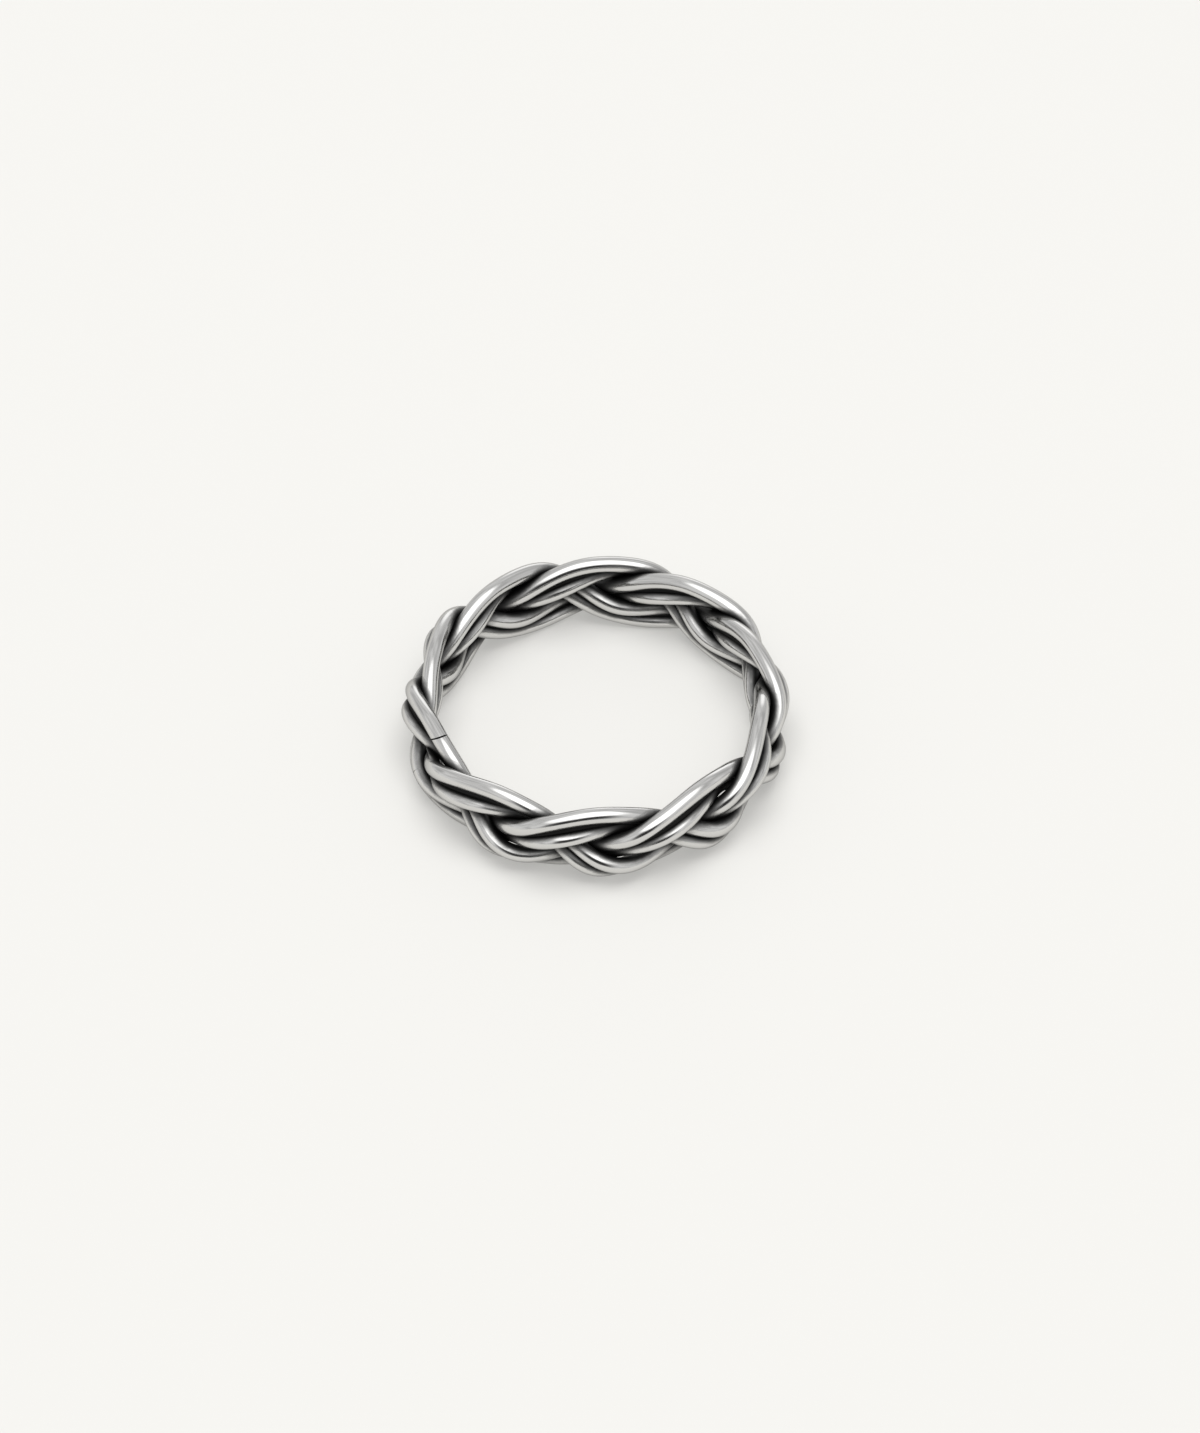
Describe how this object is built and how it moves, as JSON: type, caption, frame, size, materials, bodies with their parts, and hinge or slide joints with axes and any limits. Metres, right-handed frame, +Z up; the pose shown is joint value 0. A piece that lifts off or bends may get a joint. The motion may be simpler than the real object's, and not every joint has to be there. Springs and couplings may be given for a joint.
{
  "type": "braided ring",
  "caption": "Finger ring plaited flat from strands of paired round wire, with cut ends meeting at a seam.",
  "frame": {"origin": "centre of the ring on the surface that it lies on: the bottom centre of the bounding box", "axes": "+Z is up, along the finger's axis, and is the band's width; the seam lies toward -X and a little toward -Y"},
  "size_m": [0.0222, 0.0222, 0.005],
  "materials": {
    "oxidised_silver": "polished silver with blackened recesses"
  },
  "bodies": {
    "root": {"strand_a": "oxidised_silver", "strand_b": "oxidised_silver", "strand_c": "oxidised_silver"}
  },
  "joints": []
}
